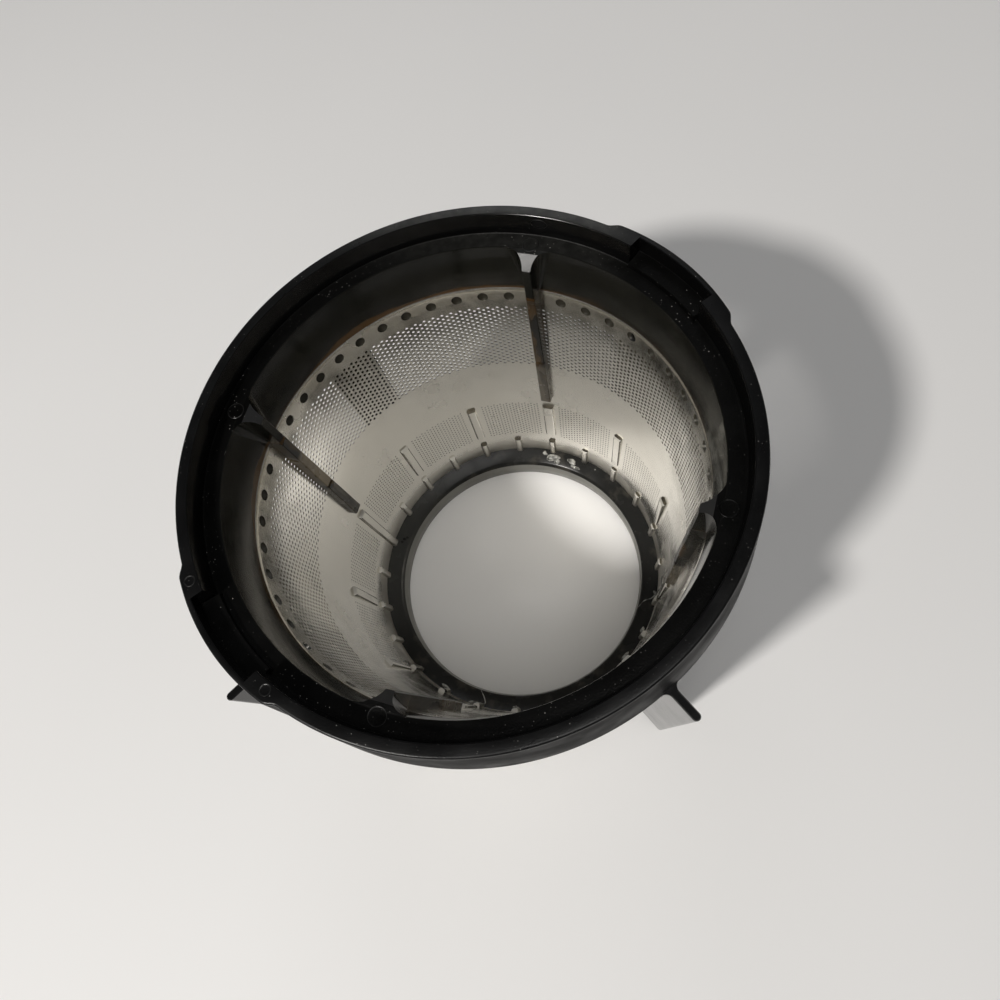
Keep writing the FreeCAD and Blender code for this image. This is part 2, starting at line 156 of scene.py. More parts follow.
# Mould-pin marks: steps of the profile, as inset or share of the size and height above the surface
PIN_PROFILE = ((0.0, -0.05), (0.02, 0.05), (0.08, 0.085), (0.16, 0.08), (0.24, 0.03), (0.36, 0.02))
WALL_PIN_PROFILE = ((1.0, -0.1), (0.99, 0.05), (0.95, 0.09), (0.9, 0.08), (0.84, 0.03), (0.76, 0.02))
WALL_PIN_HALF_WIDTH = 1.8
WALL_PIN_HALF_HEIGHT = 1.15
LEDGE_PIN_CIRCLE = 49.0
LEDGE_PIN_RADIUS = 1.76
RIM_PINS = ((53.75, 222.0), (53.4, 249.8))
RIM_PIN_RADIUS = 1.1

# Wet pulp on the foot ring: radius, degrees, height, half sizes and seed of each lump
WET_LUMPS = (
    (35.6, 89.5, 5.6, (1.1, 2.0, 1.1), 1),
    (34.7, 87.0, 5.2, (0.7, 1.1, 0.8), 2),
    (36.4, 93.5, 6.1, (0.6, 0.8, 0.7), 3),
    (35.9, 80.5, 5.8, (0.9, 1.3, 0.8), 4),
    (34.8, 78.0, 5.2, (0.6, 1.5, 0.5), 5),
    (35.0, 71.5, 5.2, (0.3, 0.4, 0.3), 6),
    (36.6, 69.0, 6.2, (0.25, 0.3, 0.3), 7),
    (37.0, 4.2, 6.3, (0.45, 0.6, 0.6), 8),
    (36.7, 347.9, 6.2, (0.55, 0.75, 0.6), 9),
    (36.5, 335.1, 6.1, (0.5, 1.3, 0.5), 10),
    (36.7, 253.4, 6.2, (0.45, 1.7, 0.4), 11),
    (37.2, 267.6, 6.4, (0.5, 2.2, 0.7), 12),
    (36.5, 284.1, 6.2, (0.5, 0.8, 0.6), 13),
)
# Dark smudge, in the same terms
SMUDGE_LUMPS = (
    (35.6, 177.0, 5.65, (0.9, 0.35, 0.25), 14),
    (35.0, 175.8, 5.4, (0.7, 0.3, 0.2), 15),
    (35.9, 178.6, 5.8, (0.7, 0.3, 0.22), 16),
)

# Strands of pulp: thickness, then radius, degrees and height of each place
STRANDS = (
    (0.16, ((33.45, -3.0, 4.75), (34.55, 0.4, 5.45), (36.3, 1.5, 6.25), (37.0, 3.0, 6.75))),
    (0.15, ((40.3, -0.5, 29.0), (38.95, 2.6, 18.4), (37.5, 3.4, 8.6), (36.8, 1.8, 6.55))),
    (0.13, ((39.15, 6.0, 20.0), (38.5, 3.6, 15.0), (37.5, 2.8, 8.5))),
    (0.15, ((33.45, 267.6, 4.75), (34.95, 270.0, 5.6), (36.3, 271.5, 6.3), (37.4, 270.5, 6.9))),
)


def cone(height):
    """Inside radius of the sheet at a height."""
    return CONE_FOOT_RADIUS + height * SLOPE


LEDGE_INNER = cone(LEDGE)


def polar(radius, degrees, height):
    """Points from cylindrical values, broadcast against each other."""
    radius, degrees, height = np.broadcast_arrays(radius, degrees, height)
    angle = np.radians(degrees)
    return np.stack([radius * np.cos(angle), radius * np.sin(angle), height], -1)


def smooth_step(value):
    value = np.clip(value, 0.0, 1.0)
    return value * value * (3.0 - 2.0 * value)


def grid_faces(rows, columns, wrap=False, flip=False):
    """Quads of a grid of points; wrap closes the rows into a ring."""
    row = np.arange(rows if wrap else rows - 1)
    column = np.arange(columns - 1)
    row, column = np.meshgrid(row, column, indexing="ij")
    after = (row + 1) % rows
    corners = [
        row * columns + column,
        after * columns + column,
        after * columns + column + 1,
        row * columns + column + 1,
    ]
    quads = np.stack(corners, -1).reshape(-1, 4)
    return quads[:, ::-1] if flip else quads


class Shell:
    """Points in millimetres and faces with a material index, gathered into one mesh."""

    def __init__(self):
        self.points = []
        self.faces = []
        self.indices = []
        self.total = 0

    def add(self, points, faces, index=0):
        points = np.asarray(points, float).reshape(-1, 3)
        if isinstance(faces, np.ndarray):
            self.faces += (faces + self.total).tolist()
        else:
            self.faces += [[self.total + corner for corner in face] for face in faces]
        if isinstance(index, int):
            self.indices += [index] * len(faces)
        else:
            self.indices += list(index)
        self.points.append(points)
        self.total += len(points)

    def piece(self, name, materials, node, crease=30.0, outward=False):
        """Makes the object, merges shared points and lets it ride on the frame."""
        points = np.concatenate(self.points)
        keys = np.round(points * 2000).astype(np.int64)
        _, first, merged = np.unique(keys, axis=0, return_index=True, return_inverse=True)
        merged = merged.reshape(-1)
        faces = [[int(merged[corner]) for corner in face] for face in self.faces]
        mesh = bpy.data.meshes.new(name)
        mesh.from_pydata((points[first] * 0.001).tolist(), [], faces)
        mesh.polygons.foreach_set("material_index", self.indices)
        for material in materials:
            mesh.materials.append(material)
        if outward:
            work = bmesh.new()
            work.from_mesh(mesh)
            bmesh.ops.recalc_face_normals(work, faces=work.faces)
            work.to_mesh(mesh)
            work.free()
        mesh.polygons.foreach_set("use_smooth", [True] * len(mesh.polygons))
        mesh.set_sharp_from_angle(angle=math.radians(crease))
        mesh.update()
        made = bpy.data.objects.new(name, mesh)
        bpy.context.scene.collection.objects.link(made)
        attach(made, "root")
        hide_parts(node)


# Perforated sheet


def sheet_points(degrees, height, depth, outside):
    """Points on one face of the sheet, pressed inwards by a depth."""
    points = polar(cone(height) - depth, degrees, height)
    if outside:
        flat = SHEET * math.cos(CONE_HALF_ANGLE)
        normal = polar(flat, degrees, -SHEET * math.sin(CONE_HALF_ANGLE))
        points = points + normal
    return points


def sheet_grid(shell, degrees, heights, depth=None, shade_marks=None):
    """Plain or beaded stretch of sheet with both faces.

    The heights run upwards, and shade_marks gives the looks of the inner face, where painted shade goes.
    """
    angle, height = np.meshgrid(degrees, heights, indexing="ij")
    pressed = depth(angle, height) if depth else np.zeros_like(angle)
    inner_looks = np.zeros((len(degrees) - 1, len(heights) - 1), int)
    if shade_marks:
        middle_angle = (angle[1:, 1:] + angle[:-1, :-1]) / 2
        middle_height = (height[1:, 1:] + height[:-1, :-1]) / 2
        inner_looks = shade_marks(middle_angle, middle_height)
    for outside in (False, True):
        points = sheet_points(angle, height, pressed, outside)
        indices = (inner_looks * (not outside)).reshape(-1).tolist()
        shell.add(points, grid_faces(len(degrees), len(heights), flip=not outside), indices)


def sheet_cells(shell, degrees, heights, half_span, half_height, radius, flare=0.0, sides=8, wall=HOLE):
    """One rectangle of sheet with a round hole for each centre."""
    degrees = np.asarray(degrees, float).reshape(-1, 1)
    heights = np.asarray(heights, float).reshape(-1, 1)
    turn = np.arange(sides) * 2 * math.pi / sides
    across, along = np.cos(turn), np.sin(turn)
    reach = np.maximum(np.abs(across), np.abs(along))
    edge_angle = degrees + half_span * across / reach
    edge_height = heights + half_height * along / reach
    rings = []
    for outside in (False, True):
        size = radius + flare if outside else radius
        hole_angle = degrees + np.degrees(size * across / cone(heights))
        hole_height = heights + size * along * math.cos(CONE_HALF_ANGLE)
        rings.append(sheet_points(edge_angle, edge_height, 0.0, outside))
        rings.append(sheet_points(hole_angle, hole_height, 0.0, outside))
    points = np.concatenate(rings, axis=1)
    here = np.arange(sides)
    after = (here + 1) % sides
    inner_edge, inner_hole, outer_edge, outer_hole = 0, sides, 2 * sides, 3 * sides
    inner = np.stack([inner_hole + here, inner_hole + after, inner_edge + after, inner_edge + here], -1)
    outer = np.stack([outer_edge + here, outer_edge + after, outer_hole + after, outer_hole + here], -1)
    through = np.stack([outer_hole + here, outer_hole + after, inner_hole + after, inner_hole + here], -1)
    pattern = np.concatenate([inner, outer, through])
    starts = np.arange(len(degrees)).reshape(-1, 1, 1) * 4 * sides
    # Hole walls take the given look, by default the one painted dark as shade
    indices = [STEEL] * (2 * sides) + [wall] * sides
    shell.add(points, (pattern + starts).reshape(-1, 4), indices * len(degrees))


def perforated_block(shell, first, last, columns, top, pitch, rows, radius, flare):
    """Columns of holes between two angles, with plain half cells that level both ends."""
    edges = np.linspace(first, last, columns + 1)
    half_span = (last - first) / columns / 2
    foot = top - pitch * rows - pitch / 2
    centres = []
    for column in range(columns):
        lowered = (column % 2) * pitch / 2
        middle = edges[column] + half_span
        for row in range(rows):
            centres.append((middle, top - lowered - pitch * (row + 0.5)))
        level = [top - pitch / 2, top] if lowered else [foot, foot + pitch / 2]
        sheet_grid(shell, [edges[column], middle, edges[column + 1]], level)
    centres = np.array(centres)
    sheet_cells(shell, centres[:, 0], centres[:, 1], half_span, pitch / 2, radius, flare)
    return foot


def bead_offset(angle, centre):
    """Distance along the sheet from the middle line of a bead."""
    return np.radians(np.abs(angle - centre)) * cone(BEAD_FOOT)


def bead_depth(angle, centre, width, stand):
    """Depth of a ridge with steep sides and eased edges."""
    return stand * np.interp(width / 2 - bead_offset(angle, centre), BEAD_RUNS, BEAD_SHARES)


def is_seam(centre):
    return abs(centre - SEAM_ANGLE) < 1.0


def long_bead_width(centre):
    return WIDE_BEAD_WIDTH if abs(centre - WIDE_BEAD_ANGLE) < 1.0 else BEAD_WIDTH


def long_bead(centre):
    def depth(angle, height):
        fall = np.clip((height - BEAD_FOOT) / (BEAD_TOP - BEAD_FOOT), 0.0, 1.0)
        foot = SHORT_STAND if is_seam(centre) else BEAD_STAND_FOOT
        stand = foot + (BEAD_STAND - foot) * fall
        stand = stand * np.clip((BEAD_TOP - height) / BEAD_END, 0.0, 1.0)
        if not is_seam(centre):
            stand = stand * np.clip((height - BEAD_FOOT) / BEAD_END, 0.0, 1.0)
        return bead_depth(angle, centre, long_bead_width(centre), stand)

    return depth


def short_bead(centre):
    def depth(angle, height):
        if is_seam(centre):
            return bead_depth(angle, centre, BEAD_WIDTH, SHORT_STAND)
        stand = SHORT_STAND * np.clip((SHORT_TOP - height) / BEAD_END, 0.0, 1.0)
        return bead_depth(angle, centre, SHORT_WIDTH, stand)

    return depth


def bead_shadow(centre, width, foot, top):
    """Painted shadow in the corner beside a bead, and painted shade on the step at its top."""
    turn = centre % 360.0
    # Share of the top step painted dark as shade; it depends on where the bead stands
    dark_step_share = 0.5 if turn < 80.0 else 1.0 if turn < 130.0 else 0.0

    def shade_marks(angle, height):
        offset = bead_offset(angle, centre)
        beside = (offset > width / 2) & (offset < width / 2 + BEAD_SHADE_WIDTH)
        beside = beside & (height > foot) & (height < top)
        # The painted shadow lies on one side only, except along the seam
        if not is_seam(centre):
            beside = beside & ((angle > centre) == (centre < SEAM_ANGLE))
        step = (offset < width / 2) & (height > top - BEAD_END) & (height < top)
        dark_step = step & (height > top - BEAD_END * dark_step_share)
        return np.where(beside | dark_step, SHADE, np.where(step, STEP_SHADE, STEEL))

    return shade_marks


def around_bead(centre, width, low, high, last):
    """Angles across a bead, with a line at each bend of its sides and at the edge of the painted shadow
    beside it.
    """
    bends = [width / 2 - run for run in BEAD_RUNS[::-1]]
    places = np.degrees(np.array([0.0, bends[0] / 2, *bends, width / 2 + BEAD_SHADE_WIDTH]) / cone(BEAD_FOOT))
    beyond = np.linspace(places[-1] + 0.5, last, max(2, round((last - places[-1]) / 1.2)))
    offsets = np.concatenate([places, beyond])
    angles = np.concatenate([centre - offsets, centre + offsets])
    angles = angles[(angles > low - 1e-6) & (angles < high + 1e-6)]
    return np.unique(np.round(angles, 6))


def turned_edge(angle, height):
    """Outward turn of the top edge of the sheet."""
    return -EDGE_REACH * np.clip((height - SHEET_TOP) / EDGE_HEIGHT + 1, 0, 1) ** 2


def screen_quarter(quarter, steels):
    """A quarter of the sheet, from rib to rib."""
    shell = Shell()
    start = quarter * 360.0 / QUARTERS
    end = start + 360.0 / QUARTERS
    steps = np.linspace(start, end, 2 * UPPER_COLUMNS + 1)
    anchor_top = ANCHOR_HEIGHT + ANCHOR_BAND
    anchor_foot = ANCHOR_HEIGHT - ANCHOR_BAND
    levels = [anchor_top, SHEET_TOP - EDGE_HEIGHT, SHEET_TOP - 0.1, SHEET_TOP]
    sheet_grid(shell, steps, levels, turned_edge)
    half = ANCHOR_STEP / 2
    anchors = np.arange(start + ANCHOR_STEP, end - half, ANCHOR_STEP)
    heights = np.full(len(anchors), ANCHOR_HEIGHT)
    sheet_cells(shell, anchors, heights, half, ANCHOR_BAND, ANCHOR_RADIUS, sides=ANCHOR_SIDES, wall=STEEL)
    for side in (start, end - half):
        sheet_grid(shell, np.linspace(side, side + half, 5), [anchor_foot, anchor_top])
    sheet_grid(shell, steps, [UPPER_TOP, anchor_foot])
    upper_foot = perforated_block(
        shell, start, end, UPPER_COLUMNS, UPPER_TOP, UPPER_PITCH, UPPER_ROWS, UPPER_RADIUS, UPPER_FLARE
    )
    sheet_grid(shell, steps, [LOWER_TOP, upper_foot])
    lower_foot = LOWER_TOP
    for bead in np.arange(start, end - 1.0, BEAD_STEP):
        lower_foot = perforated_block(
            shell,
            bead + BEAD_MARGIN,
            bead + BEAD_STEP - BEAD_MARGIN,
            LOWER_COLUMNS,
            LOWER_TOP,
            LOWER_PITCH,
            LOWER_ROWS,
            LOWER_RADIUS,
            LOWER_FLARE,
        )
    between = np.linspace(BEAD_FOOT + BEAD_END, BEAD_TOP - BEAD_END, 15)
    upper_end = [BEAD_TOP - BEAD_END / 2, BEAD_TOP, LOWER_TOP]
    levels = np.concatenate([[lower_foot, BEAD_FOOT], between, upper_end])
    for bead in np.arange(start, end + 1.0, BEAD_STEP):
        low, high = max(start, bead - BEAD_MARGIN), min(end, bead + BEAD_MARGIN)
        width = long_bead_width(bead)
        foot = lower_foot if is_seam(bead) else BEAD_FOOT
        degrees = around_bead(bead, width, low, high, BEAD_MARGIN)
        sheet_grid(shell, degrees, levels, long_bead(bead), bead_shadow(bead, width, foot, BEAD_TOP))
    between = np.linspace(SHEET_FOOT, SHORT_TOP - BEAD_END, 14)
    upper_end = [SHORT_TOP - BEAD_END / 2, SHORT_TOP, *PLAIN_LEVELS, lower_foot]
    levels = np.concatenate([between, upper_end])
    for bead in np.arange(start, end + 1.0, SHORT_STEP):
        low, high = max(start, bead - SHORT_STEP / 2), min(end, bead + SHORT_STEP / 2)
        width = BEAD_WIDTH if is_seam(bead) else SHORT_WIDTH
        top = lower_foot if is_seam(bead) else SHORT_TOP
        degrees = around_bead(bead, width, low, high, SHORT_STEP / 2)
        sheet_grid(shell, degrees, levels, short_bead(bead), bead_shadow(bead, width, FOOT_SEAT, top))
    name = f"screen_quarter_{quarter + 1}"
    shell.piece(name, steels, "perforated_screen", crease=28.0)


# Moulded frame


def rounded_outline(corners):
    """Points of a closed outline (radius, height, setback, steps), and the corner each one comes from."""
    places = np.array([corner[:2] for corner in corners], float)
    points = []
    owners = []
    for index, (_, _, setback, steps) in enumerate(corners):
        here = places[index]
        before = places[index - 1] - here
        after = places[(index + 1) % len(places)] - here
        start = here + before / np.linalg.norm(before) * setback
        end = here + after / np.linalg.norm(after) * setback
        for share in np.linspace(0.0, 1.0, steps):
            points.append((1 - share) ** 2 * start + 2 * share * (1 - share) * here + share**2 * end)
            owners.append(index)
    return np.array(points), owners


def lathe(shell, degrees, outlines, indices):
    """Ring swept through one outline for each angle."""
    outlines = np.asarray(outlines)
    closed = np.concatenate([outlines, outlines[:, :1]], axis=1)
    points = polar(closed[:, :, 0], np.asarray(degrees)[:, None], closed[:, :, 1])
    count = closed.shape[1]
    shell.add(points, grid_faces(len(degrees), count, wrap=True), indices * len(degrees))


def ring_outline(swell, is_pocket):
    """Section of the top ring; a pocket pushes the inside of the rim out and raises its floor."""
    wall_back = cone(UNDERSIDE) + SHEET_ACROSS + COLLAR_WALL
    collar_back = cone(COLLAR_FOOT) + SHEET_ACROSS + BEHIND_GAP
    skirt_inner = SKIRT_RADIUS - SKIRT_WALL
    if is_pocket:
        pocket = RIM_OUTER + BULGE_REACH - POCKET_WALL
        lip = LEDGE_OUTER - POCKET_LIP
        inside = [(pocket, RIM_TOP, 0.2, 4), (pocket, POCKET_FLOOR, 0.15, 4)]
        inside += [(lip, POCKET_FLOOR, 0.12, 3), (lip, LEDGE, 0.1, 3)]
    else:
        inside = [(RIM_INNER, RIM_TOP, 0.2, 4), (LEDGE_OUTER, LEDGE, 0.25, 4)]
        # Two more on the flat ledge, so that both outlines have as many points
        inside += [(LEDGE_OUTER - 0.7, LEDGE, 0.1, 3), (LEDGE_OUTER - 1.0, LEDGE, 0.1, 3)]
    corners = [
        (SKIRT_RADIUS + swell, SKIRT_FOOT, 0.5, 5),
        (RIM_OUTER + swell, RIM_TOP, 0.5, 6),
        *inside,
        (LEDGE_INNER, LEDGE, 0.15, 3),
        (cone(SHEET_TOP), SHEET_TOP, 0.05, 2),
        (cone(SHEET_TOP) + SHEET_ACROSS + BEHIND_GAP, SHEET_TOP, 0.05, 2),
        (collar_back, COLLAR_FOOT, 0.05, 2),
        (collar_back + COLLAR_WALL, COLLAR_FOOT, 0.25, 3),
        (wall_back, UNDERSIDE, 0.5, 4),
        (skirt_inner - SKIRT_INNER_DRAFT, UNDERSIDE, 0.5, 4),
        (skirt_inner, SKIRT_FOOT, 0.2, 3),
    ]
    return rounded_outline(corners)


RING_REGIONS = ["skirt", "rim_top", "rim_inside", "ledge", "ledge", "ledge", "wall"]
RING_REGIONS += ["under", "behind", "under", "under", "under", "under", "skirt"]


def ring_angles():
    """Even angles, with more of them where the rim swells and where the pockets end."""
    angles = [np.arange(0.0, 360.0, 0.5)]
    for pocket in POCKET_ANGLES:
        for side in (-1, 1):
            end = pocket + side * POCKET_SPAN / 2
            angles.append(end + np.array([-0.24, -0.16, -0.08, 0.0, 0.08, 0.16, 0.24]))
            swell = pocket + side * (BULGE_SPAN / 2 - BULGE_RAMP / 2)
            angles.append(swell + np.linspace(-BULGE_RAMP / 2, BULGE_RAMP / 2, 13))
    return np.unique(np.round(np.concatenate(angles) % 360.0, 4))


def top_ring(shell, order):
    """Rim, ledge, smooth wall, skirt and collar."""
    outlines = []
    angles = ring_angles()
    owners = []
    for angle in angles:
        away = min(abs((angle - pocket + 180.0) % 360.0 - 180.0) for pocket in POCKET_ANGLES)
        crown = BULGE_CROWN * max(0.0, 1 - (away / (BULGE_SPAN / 2 - BULGE_RAMP)) ** 2)
        swell = crown + BULGE_REACH * float(smooth_step((BULGE_SPAN / 2 - away) / BULGE_RAMP))
        share = float(smooth_step((POCKET_SPAN / 2 + POCKET_END / 2 - away) / POCKET_END))
        plain, owners = ring_outline(swell, False)
        pocket, _ = ring_outline(swell, True)
        outlines.append(plain * (1 - share) + pocket * share)
    indices = [order.index(RING_REGIONS[owner]) for owner in owners]
    lathe(shell, angles, outlines, indices)


def foot_ring(shell, order):
    """Foot ring with its hole, lower flange and the collar behind the sheet."""
    collar = cone(FOOT_COLLAR) + SHEET_ACROSS
    corners = [
        (FOOT_HOLE, 0.0, 0.25, 3),
        (collar + COLLAR_WALL + FLANGE_REACH, 0.0, 0.25, 3),
        (collar + COLLAR_WALL + FLANGE_REACH, FOOT_FLANGE, 0.25, 3),
        (collar + COLLAR_WALL, FOOT_FLANGE + FLANGE_REACH, 0.2, 3),
        (collar + COLLAR_WALL, FOOT_COLLAR, 0.25, 3),
        (collar + BEHIND_GAP, FOOT_COLLAR, 0.05, 2),
        (cone(FOOT_SEAT) + SHEET_ACROSS / 2, FOOT_SEAT, 0.05, 2),
        (cone(FOOT_SEAT), FOOT_SEAT, 0.05, 2),
        (FOOT_HOLE_TOP, FOOT_LIP, 0.7, 7),
        (FOOT_HOLE, FOOT_LAND, 0.2, 3),
    ]
    outline, owners = rounded_outline(corners)
    angles = np.arange(0.0, 360.0, 1.0)
    hole_top = len(corners) - 2
    last_round = len(owners) - 1 - owners[::-1].index(hole_top)
    indices = []
    for place, owner in enumerate(owners):
        # The face of the hole takes a pale look: painted reflection of the bright floor
        is_hole = owner == 0 or place >= last_round
        indices.append(order.index("foot_hole_reflection" if is_hole else "foot"))
    lathe(shell, angles, np.repeat(outline[None], len(angles), axis=0), indices)


def turned(points, degrees):
    angle = math.radians(degrees)
    across, along = math.cos(angle), math.sin(angle)
    spin = np.array([[across, -along, 0], [along, across, 0], [0, 0, 1]])
    return np.asarray(points, float) @ spin.T


def loft(shell, sections, degrees, index, top_cap=True):
    """Solid through level or sloping outlines with the same number of points."""
    count = len(sections[0])
    points = np.concatenate([np.asarray(section, float) for section in sections])
    faces = []
    for level in range(len(sections) - 1):
        for place in range(count):
            after = (place + 1) % count
            low, high = level * count, (level + 1) * count
            faces.append([low + place, low + after, high + after, high + place])
    faces.append(list(range(count))[::-1])
    if top_cap:
        top = (len(sections) - 1) * count
        faces.append([top + place for place in range(count)])
    shell.add(turned(points, degrees), faces, index)


def rib_width(height):
    share = (height - RIB_FOOT) / (LEDGE - RIB_FOOT)
    return RIB_WIDTH_FOOT + (RIB_WIDTH_TOP - RIB_WIDTH_FOOT) * share


def rib_inner(height):
    share = (height - RIB_FOOT) / (LEDGE - RIB_FOOT)
    return cone(height) - RIB_STAND_FOOT - (RIB_STAND_TOP - RIB_STAND_FOOT) * share


def rib_top(inner):
    """Height where a radius that varies with height meets the shoulder or the slope below it."""
    height = LEDGE
    for _ in range(20):
        height = LEDGE - max(0.0, LEDGE_INNER - RIB_SHOULDER - inner(height))
    return height


def rib_body(shell, degrees, index):
    """Long blade of a rib with the notch in its inner edge."""
    notch_top = NOTCH_FOOT + NOTCH_HEIGHT
    outline = [
        (cone(RIB_FOOT) + RIB_SEAT, RIB_FOOT),
        (rib_inner(RIB_FOOT) + RIB_TOE, RIB_FOOT),
        (rib_inner(RIB_FOOT + RIB_TOE), RIB_FOOT + RIB_TOE),
        (rib_inner(NOTCH_FOOT), NOTCH_FOOT),
        (rib_inner(NOTCH_FOOT) + NOTCH_DEPTH, NOTCH_FOOT + 0.1),
        (rib_inner(notch_top) + NOTCH_DEPTH, notch_top - 0.1),
        (rib_inner(notch_top), notch_top),
        (rib_inner(SHEET_TOP), SHEET_TOP),
        (cone(SHEET_TOP) + RIB_SEAT, SHEET_TOP),
    ]
    columns = []
    for side, inset in ((-1, 0.0), (-1, RIB_EASE), (1, RIB_EASE), (1, 0.0)):
        line = []
        for radius, height in outline:
            is_crest = radius < cone(height) - 0.3
            x = radius + RIB_EASE - inset if is_crest else radius
            line.append((x, side * (rib_width(height) / 2 - inset), height))
        columns.append(line)
    loft(shell, columns, degrees, index)


def rib_flare(shell, degrees, index, flat_index, slope_index):
    """Upper end of a rib: hollow-sided roots that widen to the ledge, a flat shoulder and a slope."""

    def flare_at(height):
        share = (height - SHEET_TOP) / (LEDGE - SHEET_TOP)
        return RIB_FLARE_FOOT + (RIB_FLARE - RIB_FLARE_FOOT) * share

    def root(turn):
        def place(height):
            flare = flare_at(height)
            half = rib_width(height) / 2
            across = math.sqrt(cone(height) ** 2 - (half + flare) ** 2)
            return across - flare * (1 - math.cos(turn)), half + flare * (1 - math.sin(turn))

        return place

    def crest(inset):
        return lambda height: (rib_inner(height) + RIB_EASE - inset, rib_width(height) / 2 - inset)

    widest = math.sqrt(LEDGE_INNER**2 - (RIB_WIDTH_TOP / 2 + RIB_FLARE) ** 2)
    shoulder = math.acos(1 - (widest - LEDGE_INNER + RIB_SHOULDER) / RIB_FLARE)
    turns = np.concatenate([np.linspace(0.0, shoulder, 6), np.linspace(shoulder, math.pi / 2, 6)[1:]])
    places = [root(turn) for turn in turns] + [crest(0.0), crest(RIB_EASE)]
    tops = [rib_top(lambda height: place(height)[0]) for place in places]
    sections = []
    for share in np.linspace(0.0, 1.0, 7):
        heights = [SHEET_TOP + (top - SHEET_TOP) * share for top in tops]
        spots = [place(height) for place, height in zip(places, heights)]
        section = [(x, -y, height) for (x, y), height in zip(spots, heights)]
        section += [(x, y, height) for (x, y), height in zip(spots[::-1], heights[::-1])]
        wide = spots[0][1]
        back = spots[0][0] + RIB_BACK
        section += [(back, wide, heights[0]), (back, -wide, heights[0])]
        sections.append(section)
    loft(shell, sections, degrees, index, top_cap=False)
    left = np.array(sections[-1][: len(places)])
    right = left * np.array([1.0, -1.0, 1.0])
    behind = np.array([sections[-1][-1]]) - np.array([0.0, 0.0, 0.06])
    left = np.concatenate([behind, left])
    right = np.concatenate([behind * np.array([1.0, -1.0, 1.0]), right])
    count = len(left)
    faces = [[place, place + 1, count + place + 1, count + place] for place in range(count - 1)]
    indices = [flat_index if left[place + 1][2] > LEDGE - 1e-6 else slope_index for place in range(count - 1)]
    shell.add(turned(np.concatenate([left, right]), degrees), faces, indices)


def fin(shell, degrees, index):
    """Radial wing with a full-round outer edge and hollow roots at the skirt."""
    turn = np.linspace(-math.pi / 2, math.pi / 2, 11)
    sections = []
    for height in (FIN_FOOT, FIN_FOOT + 0.25, COLLAR_FOOT, FIN_TOP - 0.25, FIN_TOP):
        share = (height - FIN_FOOT) / (FIN_TOP - FIN_FOOT)
        tip = FIN_FOOT_TIP + (FIN_TIP - FIN_FOOT_TIP) * share
        ease = 0.2 if height in (FIN_FOOT, FIN_TOP) else 0.0
        half = FIN_HALF - ease
        inner = cone(height) + SHEET_ACROSS
        section = [(inner, -half, height)]
        section += [(tip - FIN_HALF + half * math.cos(t), half * math.sin(t), height) for t in turn]
        section.append((inner, half, height))
        sections.append(section)
    loft(shell, sections, degrees, index)
    upper = []
    for height in (FIN_TOP - 0.5, UNDERSIDE + 0.5):
        inner = cone(height) + SHEET_ACROSS + COLLAR_WALL / 2
        outer = SKIRT_RADIUS - SKIRT_WALL / 2
        corners = [(inner, -FIN_HALF), (outer, -FIN_HALF), (outer, FIN_HALF), (inner, FIN_HALF)]
        upper.append([(x, y, height) for x, y in corners])
    loft(shell, upper, degrees, index)
    face = math.sqrt(SKIRT_RADIUS**2 - (FIN_HALF + FIN_ROOT) ** 2)
    root = []
    for height, ease in ((SKIRT_FOOT, 0.0), (FIN_TOP - 0.2, 0.0), (FIN_TOP - 0.02, 0.15)):
        section = []
        for side, turns in ((-1, np.linspace(0, math.pi / 2, 9)), (1, np.linspace(math.pi / 2, 0, 9))):
            for t in turns:
                x = face + FIN_ROOT * (1 - math.cos(t)) - ease
                y = FIN_HALF + FIN_ROOT * (1 - math.sin(t)) - ease
                section.append((x, side * y, height))
        section.append((SKIRT_RADIUS - SKIRT_WALL / 2, section[-1][1], height))
        section.append((SKIRT_RADIUS - SKIRT_WALL / 2, section[0][1], height))
        root.append(section)
    loft(shell, root, degrees, index)


def bar(shell, degrees, index):
    """Strip down the outside of the sheet."""
    span = math.degrees(BAR_WIDTH / BAR_RADIUS)
    angles = np.linspace(-span / 2, span / 2, 9)
    sections = []
    for height in (FOOT_COLLAR / 2, FOOT_COLLAR, COLLAR_FOOT, ANCHOR_HEIGHT):
        inner = cone(height) + SHEET_ACROSS + BEHIND_GAP
        outer = inner + COLLAR_WALL
        section = polar(inner, angles, height).tolist() + polar(outer, angles[::-1], height).tolist()
        sections.append(section)
    loft(shell, sections, degrees, index)


def mark_looks(rings, index, crest):
    """Looks of a lofted pin mark: its raised edge in one, its middle in the other."""
    count = len(rings[0])
    return [crest] * (3 * count) + [index] * ((len(rings) - 4) * count + 2)


def ejector_mark(shell, radius, degrees, height, pin, index, crest):
    """Shallow round witness left by a mould pin."""
    turn = np.linspace(0.0, 2 * math.pi, 41)[:-1]
    rings = []
    for inset, level in PIN_PROFILE:
        size = pin - inset
        rings.append([(radius + size * math.cos(t), size * math.sin(t), height + level) for t in turn])
    loft(shell, rings, degrees, mark_looks(rings, index, crest))


def wall_mark(shell, radius, degrees, height, index, crest):
    """The same on the inner wall of the rim, flattened by its draft."""
    turn = np.linspace(0.0, 2 * math.pi, 41)[:-1]
    rings = []
    for size, level in WALL_PIN_PROFILE:
        ring = []
        for t in turn:
            rise = WALL_PIN_HALF_HEIGHT * size * math.sin(t)
            across = WALL_PIN_HALF_WIDTH * size * math.cos(t)
            ring.append((radius + rise * 0.1 - level, across, height + rise))
        rings.append(ring)
    loft(shell, rings, degrees, mark_looks(rings, index, crest))


